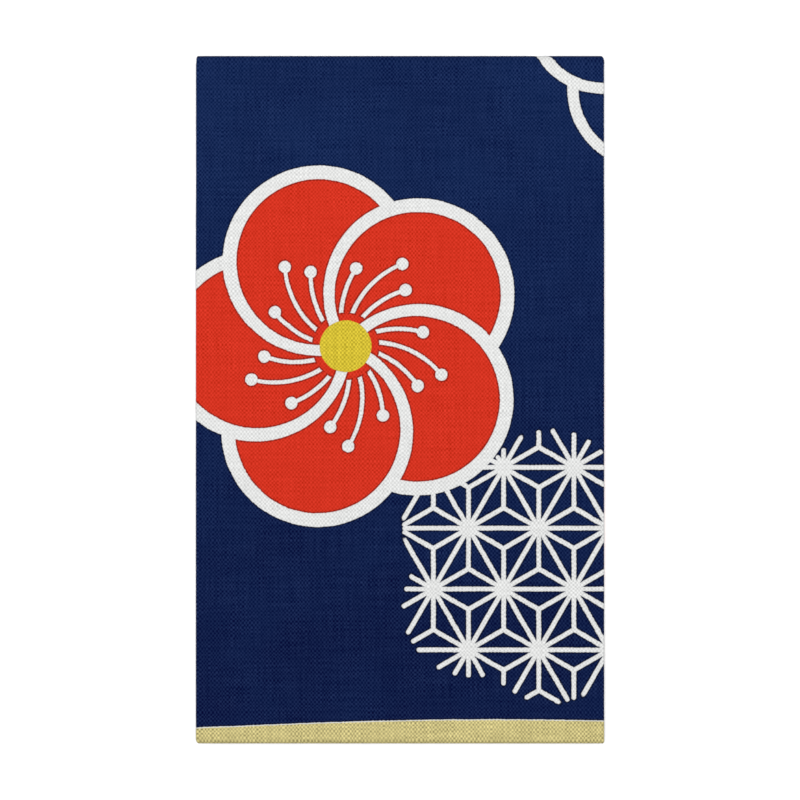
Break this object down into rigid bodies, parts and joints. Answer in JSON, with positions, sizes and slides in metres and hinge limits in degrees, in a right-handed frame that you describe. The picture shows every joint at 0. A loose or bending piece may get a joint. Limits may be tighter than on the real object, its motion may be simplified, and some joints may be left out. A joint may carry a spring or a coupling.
{
  "type": "folded tenugui towel",
  "caption": "Thin flat cotton towel folded in three across its width and back and forth along its length into a flat rectangular packet.",
  "frame": {"origin": "on the surface that the folded packet lies on, under the middle of its outline", "axes": "+X to the right of the printed front, +Y up the front along its long side, +Z out of the front, away from the surface"},
  "size_m": [0.1134, 0.191, 0.0072],
  "materials": {
    "dyed_cotton": "matt plain-woven cotton, dyed navy with undyed, red, yellow and gold figures"
  },
  "bodies": {
    "root": {"towel": "dyed_cotton"}
  },
  "joints": []
}
